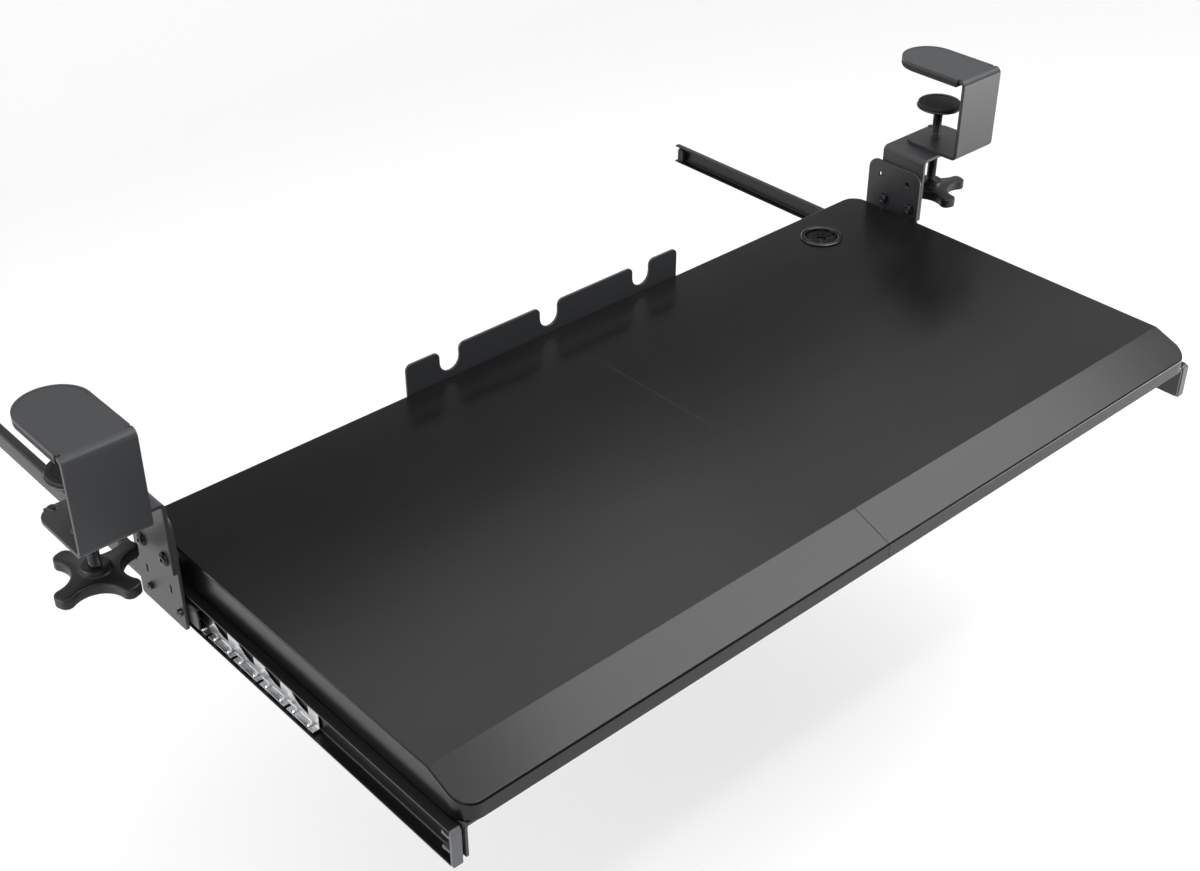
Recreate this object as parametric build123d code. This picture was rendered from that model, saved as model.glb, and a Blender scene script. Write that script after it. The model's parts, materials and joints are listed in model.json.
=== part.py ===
from build123d import *
import math
import os

# Clamp-on keyboard tray that slides under a desk, shown pulled out.
# X runs along the tray, Y points back under the desk and Z points up.
# The origin is midway between the clamps, on the desk's front face, level with the desk top.

# Shared values
overrun = 1.0
touch_gap = 0.3
slip_gap = 0.05
fastener_sides = 6
hole_sides = 12
round_sides = 16
full_turn = 360
level_edge_share = 0.7

# Tray board, two halves joined in the middle
board_length = 700.0
board_depth = 336.0
board_thickness = 23.8
board_top_below_desk = 113.5
board_front_ahead_of_desk = 256.9
board_corner_radius = 14.0
board_edge_chamfer = 1.0
slope_run = 31.2
slope_drop = 11.8
seam_gap = 0.3

# Dowels and plates that join the halves
dowel_diameter = 8.0
dowel_length = 50.0
dowel_share_of_depth = (0.2, 0.5, 0.8)
joining_plate_length = 110.0
joining_plate_width = 42.0
joining_plate_thickness = 2.0
joining_plate_share_of_depth = (0.3, 0.7)
joining_screw_inset = 11.0

# Wood screws under the board
wood_screw_diameter = 3.5
wood_screw_length = 14.0
wood_screw_head_diameter = 8.0
wood_screw_head_height = 2.2

# Cable guard at the rear edge
guard_length = 268.0
guard_rise = 24.0
guard_screw_above_board_bottom = 10.0
guard_thickness = 2.0
guard_corner_radius = 5.0
notch_from_guard_end = 39.0
notch_count = 3
notch_width = 18.0
notch_floor_above_board = 5.2
guard_screw_from_guard_end = 26.0
guard_screw_count = 4

# Cable grommet in the board
grommet_from_middle = 269.0
grommet_from_rear = 34.8
grommet_hole_diameter = 30.6
grommet_flange_diameter = 35.0
grommet_flange_height = 1.9
grommet_flange_chamfer = 1.0
grommet_sleeve_wall = 1.6
grommet_sleeve_length = 16.0
grommet_ledge_width = 1.4
grommet_ledge_height = 2.0
grommet_ledge_below_board = 3.2
insert_thickness = 2.2
insert_hole_diameter = 8.0
insert_slot_count = 12
insert_slot_width = 0.9
insert_slot_end_radius = 11.4

# Angle that carries each slide under the board
rail_angle_thickness = 2.0
rail_angle_inset = 2.0
rail_angle_drop = 24.5
rail_angle_flange = 20.0
rail_angle_fold_radius = 1.0
rail_angle_front_setback = 2.0
rail_angle_screw_count = 4
rail_angle_end_margin = 20.0

# Ball-bearing slides
slide_height = 27.0
slide_length = 300.0
slide_front_setback = 4.7
channel_depth = 9.0
slide_metal = 1.2
channel_fold_radius = 1.2
rail_height = 16.8
rail_depth = 6.5
rail_front_behind_desk = 3.0
rail_end_taper = 6.0
rail_nose_height = 8.4
rail_rivet_end_diameter = 5.2
slide_rivet_diameter = 4.0
slide_rivet_head_diameter = 7.0
slide_rivet_head_height = 1.2
slide_rivet_flush_height = 0.4
slide_rivet_count = 3
slide_rivet_end_margin = 40.0
rail_stop_length = 7.0

# Ball retainers
retainer_metal = 0.7
retainer_leg = 5.3
retainer_front_behind_channel = 133.7
segment_count = 5
segment_pitch = 29.5
segment_slot_width = 2.4
segment_slot_depth = 3.9
ball_diameter = 3.6
ball_spacing = 16.0
ball_cut_share = 0.29
window_length = 17.0
window_height = 12.0
window_behind_segment_middle = 4.5
window_shoulder_share = 0.2
window_shoulder_height_share = 0.7
window_blunt_share = 0.15

# Moulded caps in the front of the slides
cap_thickness = 2.5
cap_side_width = 7.0
cap_prong_length = 9.0
cap_prong_thickness = 2.0
cap_prong_offset = 5.4
cap_chamfer = 1.8
cap_barb = 0.9
cap_barb_length = 2.7
cap_barb_taper = 1.8

# Plates that hang the slides from the clamp brackets
hanger_thickness = 2.5
hanger_clearance = 1.1
hanger_front_behind_desk = 15.8
hanger_width = 55.6
hanger_bottom_below_slide = 0.9
hanger_top_above_board = 37.0
hanger_top_radius = 9.0
hanger_bottom_radius = 3.0
height_hole_diameter = 4.4
height_hole_pitch = 29.6
height_hole_above_board = 24.4
height_slot_length = 6.0
height_slot_width = 2.2
height_slot_below_board = 24.9
rail_rivet_pitch = 36.7
rail_rivet_from_front = 3.4
rail_rivet_length = 3.0

# Folded brackets under the clamps
bracket_thickness = 3.0
bracket_width = 44.0
bracket_fold_radius = 1.5
bracket_bottom_below_board = 5.5
bracket_leg_length = 58.0
bracket_rivet_spread = 15.0
bracket_rivet_offset = 13.0

# Bolts through bracket and hanger
bolt_diameter = 5.0
bolt_head_diameter = 10.0
bolt_head_height = 2.6
bolt_socket_diameter = 3.4
bolt_socket_depth = 1.5
bolt_pitch = 28.0
bolt_above_board = 4.1
nut_width = 8.0
nut_height = 3.0

# Clamps
clamp_middle_beyond_bracket = 41.7
clamp_width = 48.0
clamp_metal = 3.0
clamp_height = 70.6
clamp_length = 79.0
clamp_fold_radius = 2.2
flange_length = 58.0
flange_corner_radius = 12.0
relief_depth = 1.6
relief_length = 2.2
relief_behind_desk = 4.0
jaw_pad_thickness = 4.5
jaw_pad_front = 5.5
jaw_pad_chamfer = 1.0

# Clamp screws, knobs and pressure pads
desk_thickness = 28.5
screw_diameter = 8.0
screw_behind_desk = 37.8
screw_tip_length = 4.0
screw_tip_diameter = 6.0
screw_end_chamfer = 0.5
weld_nut_width = 13.0
weld_nut_height = 6.5
pad_diameter = 38.0
pad_plate_thickness = 2.0
pad_rubber_thickness = 2.5
pad_rubber_inset = 1.0
pad_cup_diameter = 13.0
knob_top_above_board = 8.2
knob_thickness = 8.0
knob_radius = 33.5
knob_arm_count = 4
knob_hollow_radius = 17.0
knob_waist_radius = 15.5
knob_tip_radius = 7.5
knob_edge_chamfer = 1.5
knob_floor = 1.5
knob_hub_diameter = 19.0
knob_hub_rise = 5.0
knob_turn_degrees = 71.5

# Places worked out from the sizes above
wood_screw_hole = wood_screw_diameter + 2 * slip_gap
slide_rivet_hole = slide_rivet_diameter + 2 * slip_gap
bolt_hole = bolt_diameter + 2 * slip_gap
half_length = board_length / 2
board_top = -board_top_below_desk
board_bottom = board_top - board_thickness
board_front = -board_front_ahead_of_desk
board_rear = board_front + board_depth
slide_top = board_bottom - touch_gap
slide_middle = slide_top - slide_height / 2
slide_bottom = slide_top - slide_height
angle_outer = half_length - rail_angle_inset
channel_web_inner = angle_outer
channel_outer = channel_web_inner + channel_depth
channel_front = board_front + slide_front_setback
channel_rear = channel_front + slide_length
rail_front = rail_front_behind_desk
rail_rear = rail_front + slide_length
hanger_inner = channel_outer + hanger_clearance
bracket_inner = hanger_inner + hanger_thickness
bracket_outer = bracket_inner + bracket_thickness
hanger_front = hanger_front_behind_desk
hanger_rear = hanger_front + hanger_width
hanger_top = board_top + hanger_top_above_board
hanger_bottom = slide_bottom - hanger_bottom_below_slide
clamp_x = bracket_inner + clamp_middle_beyond_bracket
jaw_underside = jaw_pad_thickness
jaw_top = jaw_underside + clamp_metal
clamp_bottom = jaw_top - clamp_height
screw_y = screw_behind_desk
pad_top = -desk_thickness
knob_top = board_top + knob_top_above_board
ball_height = (slide_height / 2 - slide_metal + rail_height / 2) / 2
retainer_front = channel_front + retainer_front_behind_channel
retainer_length = segment_count * segment_pitch
channel_floor = channel_web_inner + slide_metal
retainer_web_inner = channel_floor + slide_rivet_flush_height + 2 * touch_gap
ball_x = retainer_web_inner + retainer_metal + (retainer_leg - retainer_metal) / 2


def write(name, shape):
    """Write one sub-part under its own name."""
    export_step(shape, f"parts/{name}.step")


def write_pair(name, shape):
    """Write a piece built on the +X side, and its mirror image for the -X side."""
    write(f"{name}_right", shape)
    write(f"{name}_left", mirror(shape, about=Plane.YZ))


def group(solids):
    """Several separate solids that share one name."""
    return Compound(children=[part.solid() for part in solids])


def pin(diameter, start, end, x=0, y=0, sides=fastener_sides):
    """Upright bar with flat sides in place of a round wall, so that many stay light."""
    outline = RegularPolygon(diameter / 2, sides)
    return Pos(x, y, start) * extrude(outline, amount=end - start)


def clear_hole(diameter, start, end, x, y):
    """Upright hole whose flat sides all clear a bar that turns in it."""
    outline = RegularPolygon(diameter / 2 + slip_gap, hole_sides, major_radius=False)
    return Pos(x, y, start) * extrude(outline, amount=end - start)


def cross_pin(diameter, start, end, y, z):
    """Such a bar along X between two places."""
    return Pos(start, y, z) * Rot(0, 90, 0) * pin(diameter, 0, end - start)


def folded_sheet(points, thickness, fold_radius, plane, width):
    """Sheet folded along a centre line drawn in a plane, as wide as given about that plane."""
    line = FilletPolyline(*points, radius=fold_radius + thickness / 2)
    return extrude(plane * trace(line, thickness), amount=width / 2, both=True)


def upright(face, rear, thickness):
    """Plate from a sketch of X and Z, standing between its rear face and its thickness ahead of it."""
    return extrude(Plane.XZ.offset(-rear) * face, amount=thickness)


def side_plate(face, inner, thickness):
    """Plate from a sketch of Y and Z, starting at its inner face."""
    return extrude(Plane.YZ.offset(inner) * face, amount=thickness)


def wood_screw(head_bottom, x, y):
    """Hexagon-head screw pointing up, with its head under the metal that it holds."""
    head_top = head_bottom + wood_screw_head_height
    head = pin(wood_screw_head_diameter, head_bottom, head_top, x, y)
    shank = pin(wood_screw_diameter, head_top, head_top + wood_screw_length, x, y)
    return head + shank


def spread(start, end, count):
    """Evenly spaced places from start to end."""
    return [start + (end - start) * step / (count - 1) for step in range(count)]


def board_half(side):
    """One half of the board: a side profile with the sloped nose, cut to its rounded outline."""
    nose_top = board_top - slope_drop
    slope_start = board_front + slope_run
    profile = Polyline(
        (board_front, nose_top),
        (slope_start, board_top),
        (board_rear, board_top),
        (board_rear, board_bottom),
        (board_front, board_bottom),
        close=True,
    )
    slab = extrude(Plane.YZ * make_face(profile), amount=half_length, both=True)
    middle = (board_front + board_rear) / 2
    outline = Pos(0, middle) * RectangleRounded(board_length, board_depth, board_corner_radius)
    blank = Pos(0, 0, board_bottom) * extrude(outline, amount=board_thickness)
    slab = slab & blank
    upper = slab.edges().filter_by(lambda edge: edge.center().Z > nose_top - board_edge_chamfer)
    upper = upper.filter_by(lambda edge: abs(edge.tangent_at(0).Z) < level_edge_share)
    crease = upper.filter_by(Axis.X).filter_by(lambda edge: abs(edge.center().Y - slope_start) < overrun)
    slab = chamfer([edge for edge in upper if edge not in crease], board_edge_chamfer)
    keep = Box(half_length, board_depth, board_thickness, align=(Align.MIN, Align.MIN, Align.MIN))
    keep = Pos(seam_gap / 2, board_front, board_bottom) * keep
    if side < 0:
        keep = mirror(keep, about=Plane.YZ)
    return slab & keep


def dowel_places():
    """Where the dowels cross the seam, front to rear."""
    return [board_front + share * board_depth for share in dowel_share_of_depth]


def dowel(y, extra):
    """Round bar across the seam at half the board's thickness."""
    reach = dowel_length / 2 + extra
    height = (board_top + board_bottom) / 2
    return cross_pin(dowel_diameter + 2 * extra, -reach, reach, y, height)


def joining_plate(y):
    """Flat steel plate screwed under the seam."""
    outline = Rectangle(joining_plate_length, joining_plate_width)
    outline = chamfer(outline.vertices(), joining_screw_inset / 2)
    plate = extrude(Pos(0, y, board_bottom) * outline, amount=-joining_plate_thickness)
    for x, place in joining_screw_places(y):
        plate -= pin(wood_screw_hole, slide_bottom, board_top, x, place)
    return plate


def joining_plate_places():
    """Middle of each joining plate, front to rear."""
    return [board_front + share * board_depth for share in joining_plate_share_of_depth]


def joining_screw_places(y):
    """Four corners of a joining plate."""
    reach = joining_plate_length / 2 - joining_screw_inset
    rise = joining_plate_width / 2 - joining_screw_inset
    return [(side * reach, y + end * rise) for side in (-1, 1) for end in (-1, 1)]


def angle_screw_places():
    """Screws through the flange of a slide's angle, front to rear."""
    x = angle_outer - rail_angle_flange / 2 - rail_angle_thickness / 2
    front = channel_front + rail_angle_end_margin
    rear = channel_rear - rail_angle_end_margin
    return [(x, y) for y in spread(front, rear, rail_angle_screw_count)]


def guard_screw_places():
    """Heights and places of the screws that hold the cable guard to the rear edge."""
    height = board_bottom + guard_screw_above_board_bottom
    reach = guard_length / 2 - guard_screw_from_guard_end
    return [(x, height) for x in spread(-reach, reach, guard_screw_count)]


def guard_screw(x, z):
    """Such a screw through the cable guard into the board's rear edge."""
    turn = Rot(90, 0, 0) * wood_screw(0, 0, 0)
    return Pos(x, board_rear + guard_thickness + wood_screw_head_height, z) * turn


def tray_boards():
    """Both halves, bored for dowels, screws and the grommet."""
    holes = [dowel(y, slip_gap) for y in dowel_places()]
    below = board_bottom - overrun
    above = board_top + overrun
    screw_top = board_bottom + wood_screw_length + slip_gap
    for y in joining_plate_places():
        holes += [pin(wood_screw_hole, below, screw_top, x, place) for x, place in joining_screw_places(y)]
    for x, y in angle_screw_places():
        holes += [pin(wood_screw_hole, below, screw_top, side * x, y) for side in (-1, 1)]
    for x, z in guard_screw_places():
        bore = pin(wood_screw_hole, -overrun, wood_screw_length + slip_gap)
        holes.append(Pos(x, board_rear, z) * Rot(90, 0, 0) * bore)
    grommet_y = board_rear - grommet_from_rear
    holes.append(pin(grommet_hole_diameter, below, above, grommet_from_middle, grommet_y, round_sides))
    for side, name in ((-1, "board_left"), (1, "board_right")):
        write(name, board_half(side) - holes)


def joining_hardware():
    """Dowels, plates and screws along the seam."""
    write("joining_dowels", group([dowel(y, 0) for y in dowel_places()]))
    names = ("joining_plate_front", "joining_plate_rear")
    for name, y in zip(names, joining_plate_places()):
        write(name, joining_plate(y))
    head_bottom = board_bottom - joining_plate_thickness - wood_screw_head_height
    screws = []
    for y in joining_plate_places():
        screws += [wood_screw(head_bottom, x, place) for x, place in joining_screw_places(y)]
    write("joining_screws", group(screws))


def cable_guard():
    """Upright sheet behind the board with three round-bottomed notches for cables."""
    bottom = board_bottom
    top = board_top + guard_rise
    face = Pos(0, (bottom + top) / 2) * Rectangle(guard_length, top - bottom)
    floor = board_top + notch_floor_above_board
    mouth = top + notch_width
    round_middle = floor + notch_width / 2
    outer_notch = guard_length / 2 - notch_from_guard_end
    for x in spread(-outer_notch, outer_notch, notch_count):
        face -= Pos(x, round_middle) * RegularPolygon(notch_width / 2, round_sides)
        face -= Pos(x, (round_middle + mouth) / 2) * Rectangle(notch_width, mouth - round_middle)
    corners = face.vertices().filter_by(lambda v: v.Y > top - touch_gap or v.Y < bottom + touch_gap)
    face = fillet(corners, guard_corner_radius)
    guard = upright(face, board_rear + guard_thickness, guard_thickness)
    bore = Rot(-90, 0, 0) * pin(wood_screw_hole, -overrun, guard_thickness + overrun)
    for x, z in guard_screw_places():
        guard -= Pos(x, board_rear, z) * bore
    write("rear_cable_guard", guard)
    write("guard_screws", group([guard_screw(x, z) for x, z in guard_screw_places()]))


def grommet():
    """Flanged ring in the board and the slotted disc that sits on its ledge."""
    centre = Pos(grommet_from_middle, board_rear - grommet_from_rear, board_top)
    outer = grommet_hole_diameter - 2 * slip_gap
    inner = outer - 2 * grommet_sleeve_wall
    ledge_inner = inner - 2 * grommet_ledge_width
    ledge_top = -grommet_ledge_below_board
    ledge_bottom = ledge_top - grommet_ledge_height
    flange = pin(grommet_flange_diameter, 0, grommet_flange_height, sides=round_sides)
    flange = chamfer(flange.edges().group_by(Axis.Z)[-1], grommet_flange_chamfer)
    ring = flange + pin(outer, -grommet_sleeve_length, 0, sides=round_sides)
    ring -= pin(inner, ledge_top, grommet_flange_height + overrun, sides=round_sides)
    ring -= pin(inner, -grommet_sleeve_length - overrun, ledge_bottom, sides=round_sides)
    ring -= pin(ledge_inner, ledge_bottom - overrun, ledge_top + overrun, sides=round_sides)
    write("grommet_ring", centre * ring)
    disc = RegularPolygon(inner / 2 - slip_gap, round_sides)
    disc -= RegularPolygon(insert_hole_diameter / 2, round_sides)
    slot_length = insert_slot_end_radius - insert_hole_diameter / 2 + insert_slot_width
    slot_middle = insert_slot_end_radius - slot_length / 2
    slots = PolarLocations(0, insert_slot_count)
    disc -= [place * Pos(slot_middle, 0) * Rectangle(slot_length, insert_slot_width) for place in slots]
    insert = extrude(disc, amount=insert_thickness)
    write("grommet_insert", centre * Pos(0, 0, ledge_top) * insert)


def slide_rivet_places():
    """Rivets that hold a channel to its angle, front to rear."""
    front = channel_front + slide_rivet_end_margin
    rear = channel_rear - slide_rivet_end_margin
    return spread(front, rear, slide_rivet_count)


def rail_angle():
    """Folded angle under the board's side, with its upright leg outboard."""
    half = rail_angle_thickness / 2
    upright_x = angle_outer - half
    points = (
        (angle_outer - rail_angle_flange, board_bottom - half),
        (upright_x, board_bottom - half),
        (upright_x, board_bottom - rail_angle_drop),
    )
    front = board_front + rail_angle_front_setback
    middle = (front + channel_rear) / 2
    plane = Plane.XZ.offset(-middle)
    angle = folded_sheet(points, rail_angle_thickness, rail_angle_fold_radius, plane, channel_rear - front)
    for x, y in angle_screw_places():
        angle -= pin(wood_screw_hole, slide_bottom, board_top, x, y)
    for y in slide_rivet_places():
        angle -= cross_pin(slide_rivet_hole, angle_outer - rail_angle_flange, half_length, y, slide_middle)
    head_bottom = board_bottom - rail_angle_thickness - wood_screw_head_height
    write_pair("rail_angle", angle)
    write_pair("rail_angle_screws", group([wood_screw(head_bottom, x, y) for x, y in angle_screw_places()]))


def slide_rivet(y):
    """Rivet with a low head inside the angle and a flattened end inside the channel."""
    web_outer = channel_floor
    angle_inner = angle_outer - rail_angle_thickness
    shank = cross_pin(slide_rivet_diameter, angle_inner, web_outer, y, slide_middle)
    head_start = angle_inner - slide_rivet_head_height
    head = cross_pin(slide_rivet_head_diameter, head_start, angle_inner, y, slide_middle)
    flush_end = web_outer + slide_rivet_flush_height
    flush = cross_pin(slide_rivet_head_diameter, web_outer, flush_end, y, slide_middle)
    return head + shank + flush


def slide_channel():
    """Channel on the tray side, open outwards, whose inner corners are the ball races."""
    half = slide_metal / 2
    web_x = channel_web_inner + half
    top = slide_top - half
    bottom = slide_bottom + half
    points = (
        (channel_outer, top),
        (web_x, top),
        (web_x, bottom),
        (channel_outer, bottom),
    )
    plane = Plane.XZ.offset(-(channel_front + channel_rear) / 2)
    channel = folded_sheet(points, slide_metal, channel_fold_radius, plane, slide_length)
    for y in slide_rivet_places():
        channel -= cross_pin(slide_rivet_hole, angle_outer - overrun, ball_x, y, slide_middle)
    write_pair("slide_channel", channel)
    write_pair("channel_rivets", group([slide_rivet(y) for y in slide_rivet_places()]))


def rail_rivet_places():
    """Rivets that hold the fixed rail to its hanger, front to rear."""
    first = hanger_front + rail_rivet_from_front
    return [first, first + rail_rivet_pitch]


def fixed_rail():
    """Narrow channel fixed to the hanger, open inwards, with a tapered front end and a rear stop."""
    half = slide_metal / 2
    web_x = hanger_inner - half
    flange_x = hanger_inner - rail_depth
    rise = rail_height / 2 - half
    points = (
        (flange_x, slide_middle + rise),
        (web_x, slide_middle + rise),
        (web_x, slide_middle - rise),
        (flange_x, slide_middle - rise),
    )
    plane = Plane.XZ.offset(-(rail_front + rail_rear) / 2)
    rail = folded_sheet(points, slide_metal, channel_fold_radius, plane, slide_length)
    taper = Polyline(
        (rail_front - overrun, slide_middle - rail_height),
        (rail_front - overrun, slide_middle + rail_height),
        (rail_front + rail_end_taper, slide_middle + rail_height),
        (rail_front, slide_middle + rail_nose_height / 2),
        (rail_front, slide_middle - rail_nose_height / 2),
        (rail_front + rail_end_taper, slide_middle - rail_height),
        close=True,
    )
    rail -= side_plate(make_face(taper), flange_x - overrun, rail_depth + 2 * overrun)
    for y in rail_rivet_places():
        rail -= cross_pin(slide_rivet_hole, flange_x, hanger_inner + overrun, y, slide_middle)
    write_pair("fixed_rail", rail)
    inner = hanger_inner - slide_metal
    rivets = []
    for y in rail_rivet_places():
        shank = cross_pin(slide_rivet_diameter, inner, bracket_inner, y, slide_middle)
        end_x = bracket_inner + rail_rivet_length
        end = cross_pin(rail_rivet_end_diameter, bracket_inner, end_x, y, slide_middle)
        head = cross_pin(slide_rivet_head_diameter, inner - slide_rivet_head_height, inner, y, slide_middle)
        rivets.append(head + shank + end)
    write_pair("rail_rivets", group(rivets))
    stop_height = rail_height - 2 * slide_metal - 2 * channel_fold_radius
    block = Rectangle(rail_stop_length, stop_height)
    block = Pos(rail_rear - rail_stop_length, slide_middle) * chamfer(block.vertices(), channel_fold_radius)
    write_pair("rail_stop", side_plate(block, flange_x, inner - flange_x))


def window_face(y):
    """Bullet-shaped opening, blunt in front and pointed at the rear."""
    reach = window_length / 2
    rise = window_height / 2
    shoulder = y + window_length * window_shoulder_share
    blunt = y - window_length * window_blunt_share
    shoulder_rise = rise * window_shoulder_height_share
    outline = Polyline(
        (y - reach, slide_middle - rise),
        (y - reach, slide_middle + rise),
        (blunt, slide_middle + rise),
        (shoulder, slide_middle + shoulder_rise),
        (y + reach, slide_middle),
        (shoulder, slide_middle - shoulder_rise),
        (blunt, slide_middle - rise),
        close=True,
    )
    return make_face(outline)


def segment_middles():
    """Middle of each retainer segment, front to rear."""
    return [retainer_front + (step + 1 / 2) * segment_pitch for step in range(segment_count)]


def ball_retainer():
    """Light folded strip between channel and rail: windowed web, and two legs cut into segments."""
    half = retainer_metal / 2
    web_x = retainer_web_inner + half
    tip_x = retainer_web_inner + retainer_leg
    points = (
        (tip_x, slide_middle + ball_height),
        (web_x, slide_middle + ball_height),
        (web_x, slide_middle - ball_height),
        (tip_x, slide_middle - ball_height),
    )
    plane = Plane.XZ.offset(-(retainer_front + retainer_length / 2))
    strip = folded_sheet(points, retainer_metal, half, plane, retainer_length)
    slot = Box(2 * segment_slot_depth, segment_slot_width, slide_height)
    for step in range(1, segment_count):
        strip -= Pos(tip_x, retainer_front + step * segment_pitch, slide_middle) * slot
    pocket_width = ball_diameter + 2 * slip_gap
    pocket = Box(pocket_width, pocket_width, slide_height)
    for y in segment_middles():
        window = window_face(y + window_behind_segment_middle)
        strip -= side_plate(window, retainer_web_inner - overrun, retainer_metal + 2 * overrun)
        for end in (-1, 1):
            strip -= Pos(ball_x, y + end * ball_spacing / 2, slide_middle) * pocket
    write_pair("ball_retainer", strip)
    ball = Box(ball_diameter, ball_diameter, ball_diameter)
    ball = chamfer(ball.edges().filter_by(Axis.Z, reverse=True), ball_diameter * ball_cut_share)
    balls = []
    for y in segment_middles():
        for end in (-1, 1):
            for side in (-1, 1):
                place = Pos(ball_x, y + end * ball_spacing / 2, slide_middle + side * ball_height)
                balls.append(place * ball)
    write_pair("slide_balls", group(balls))


def slide_cap():
    """Moulded plug in the front of the channel, with two barbed prongs that grip inside it."""
    outer = channel_outer
    inner = outer - cap_side_width
    face = Rectangle(cap_side_width, slide_height)
    face = chamfer(face.vertices().group_by(Axis.X)[-1], cap_chamfer / 2)
    face = Pos((outer + inner) / 2, slide_middle) * face
    plate = upright(face, channel_front, cap_thickness)
    top_edge = plate.edges().filter_by(Axis.X).group_by(Axis.Z)[-1].sort_by(Axis.Y)[0]
    plate = chamfer(top_edge, cap_chamfer)
    prong_inner = channel_floor + touch_gap
    prong_depth = outer - slide_metal - touch_gap - prong_inner
    for side in (-1, 1):
        z = slide_middle + side * cap_prong_offset
        barb = z + side * (cap_prong_thickness / 2 + cap_barb)
        near = z + side * cap_prong_thickness / 2
        far = z - side * cap_prong_thickness / 2
        rear = channel_front + cap_prong_length
        outline = Polyline(
            (channel_front - cap_thickness / 2, near),
            (rear - cap_barb_length, near),
            (rear - cap_barb_taper, barb),
            (rear, near),
            (rear, far),
            (channel_front - cap_thickness / 2, far),
            close=True,
        )
        plate += side_plate(make_face(outline), prong_inner, prong_depth)
    write_pair("slide_cap", plate)


def bolt_places():
    """Bolts through bracket and hanger, front to rear, and their height."""
    height = board_top + bolt_above_board
    return [(screw_y + end * bolt_pitch / 2, height) for end in (-1, 1)]


def hanger_plate():
    """Flat plate with rounded corners between the clamp bracket and the fixed rail."""
    middle = (hanger_front + hanger_rear) / 2
    height = hanger_top - hanger_bottom
    face = Pos(middle, hanger_bottom + height / 2) * Rectangle(hanger_width, height)
    face = fillet(face.vertices().group_by(Axis.Y)[-1], hanger_top_radius)
    face = fillet(face.vertices().group_by(Axis.Y)[0], hanger_bottom_radius)
    for end in (-1, 1):
        y = middle + end * height_hole_pitch / 2
        hole = RegularPolygon(height_hole_diameter / 2, hole_sides)
        face -= Pos(y, board_top + height_hole_above_board) * hole
        slot = Rectangle(height_slot_width, height_slot_length)
        face -= Pos(y, board_top - height_slot_below_board) * slot
    plate = side_plate(face, hanger_inner, hanger_thickness)
    for y, z in bolt_places():
        plate -= cross_pin(bolt_hole, hanger_inner - overrun, bracket_inner + overrun, y, z)
    for y in rail_rivet_places():
        plate -= cross_pin(slide_rivet_hole, hanger_inner - overrun, bracket_inner + overrun, y, slide_middle)
    write_pair("hanger_plate", plate)


def bracket_rivet_places():
    """Rivets that join bracket and clamp flange, each side of the screw."""
    return [(clamp_x + bracket_rivet_offset, screw_y + end * bracket_rivet_spread) for end in (-1, 1)]


def clamp_bracket():
    """Folded bracket: one leg under the clamp's flange, the other down beside the hanger."""
    half = bracket_thickness / 2
    leg_x = bracket_inner + half
    points = (
        (bracket_inner + bracket_leg_length, clamp_bottom - half),
        (leg_x, clamp_bottom - half),
        (leg_x, board_top - bracket_bottom_below_board),
    )
    plane = Plane.XZ.offset(-screw_y)
    bracket = folded_sheet(points, bracket_thickness, bracket_fold_radius, plane, bracket_width)
    for y, z in bolt_places():
        bracket -= cross_pin(bolt_hole, hanger_inner, bracket_outer + overrun, y, z)
    bracket -= clear_hole(screw_diameter, knob_top, 0, clamp_x, screw_y)
    for x, y in bracket_rivet_places():
        bracket -= pin(slide_rivet_hole, knob_top, 0, x, y)
    write_pair("clamp_bracket", bracket)
    rivets = []
    top = clamp_bottom + clamp_metal
    bottom = clamp_bottom - bracket_thickness
    for x, y in bracket_rivet_places():
        shank = pin(slide_rivet_diameter, bottom, top, x, y)
        upper = pin(slide_rivet_head_diameter, top, top + slide_rivet_head_height, x, y)
        lower = pin(slide_rivet_head_diameter, bottom - slide_rivet_head_height, bottom, x, y)
        rivets.append(shank + upper + lower)
    write_pair("bracket_rivets", group(rivets))


def hanger_bolt(y, z):
    """Button-head bolt with a hexagon socket, pointing inwards."""
    head = pin(bolt_head_diameter, 0, bolt_head_height, sides=hole_sides)
    head = Pos(bracket_outer, y, z) * Rot(0, 90, 0) * head
    head = chamfer(head.edges().group_by(Axis.X)[-1], bolt_head_height / 2)
    socket = RegularPolygon(bolt_socket_diameter / 2, fastener_sides)
    place = Pos(bracket_outer + bolt_head_height + overrun, y, z) * Rot(0, -90, 0)
    head -= place * extrude(socket, amount=bolt_socket_depth + overrun)
    shank = cross_pin(bolt_diameter, hanger_inner - nut_height, bracket_outer, y, z)
    return head + shank


def hanger_nut(y, z):
    """Hexagon nut on the inner face of the hanger."""
    outline = RegularPolygon(nut_width / 2, fastener_sides, major_radius=False)
    start = hanger_inner - nut_height
    nut = side_plate(Pos(y, z) * outline, start, nut_height)
    return nut - cross_pin(bolt_hole, start - overrun, bracket_inner, y, z)


def hanger_bolts():
    """Bolts and nuts that set the tray's height."""
    write_pair("hanger_bolts", group([hanger_bolt(y, z) for y, z in bolt_places()]))
    write_pair("hanger_nuts", group([hanger_nut(y, z) for y, z in bolt_places()]))


def jaw_outline(width, front):
    """Plan of the jaw: straight sides and a half-round rear end."""
    radius = width / 2
    rear = clamp_length - clamp_metal - (clamp_width - width) / 2
    straight = rear - radius
    body = Pos(0, (front + straight) / 2) * Rectangle(width, straight - front)
    return body + Pos(0, straight) * Circle(radius)


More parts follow.
